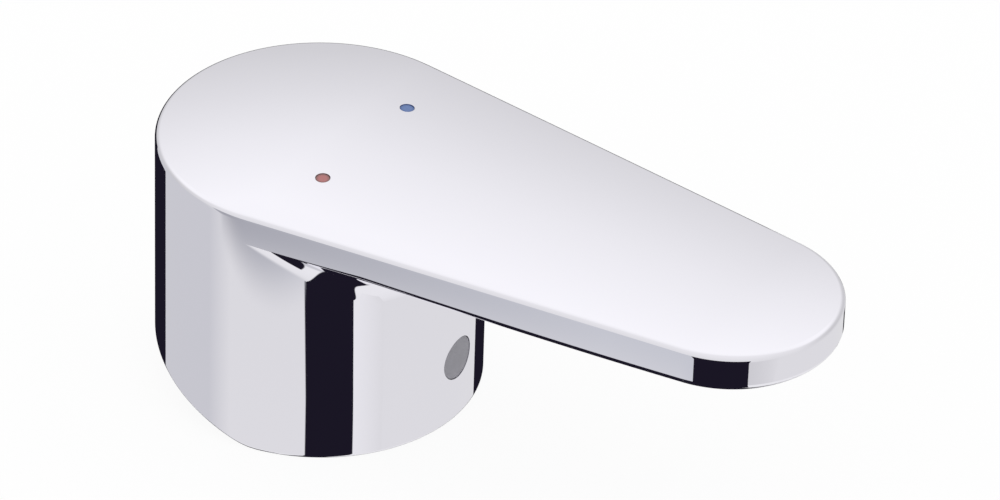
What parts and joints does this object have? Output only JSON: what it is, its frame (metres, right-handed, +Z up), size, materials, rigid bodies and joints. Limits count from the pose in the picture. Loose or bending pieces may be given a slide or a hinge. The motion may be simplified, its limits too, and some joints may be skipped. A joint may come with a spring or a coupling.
{
  "type": "single-lever tap handle",
  "caption": "Chromed lever handle for a single-lever mixer tap: hollow round skirt with a square stem socket, domed top and a flat tapering lever.",
  "frame": {"origin": "on the axis of the stem socket, in the plane of the flat front half of the skirt's rim", "axes": "+X along the lever, +Z up out of the domed top, cold mark on the +Y side and hot mark on the -Y side"},
  "size_m": [0.1038, 0.046, 0.04],
  "materials": {
    "chromed_zinc": "polished chrome plate over die-cast zinc",
    "screw_steel": "plain stainless",
    "cover_plastic": "smooth moulded grey",
    "red_enamel": "red enamel fill",
    "blue_enamel": "blue enamel fill"
  },
  "bodies": {
    "root": {"handle_casting": "chromed_zinc", "grub_screw": "screw_steel", "screw_cover": "cover_plastic", "hot_mark": "red_enamel", "cold_mark": "blue_enamel"}
  },
  "joints": []
}
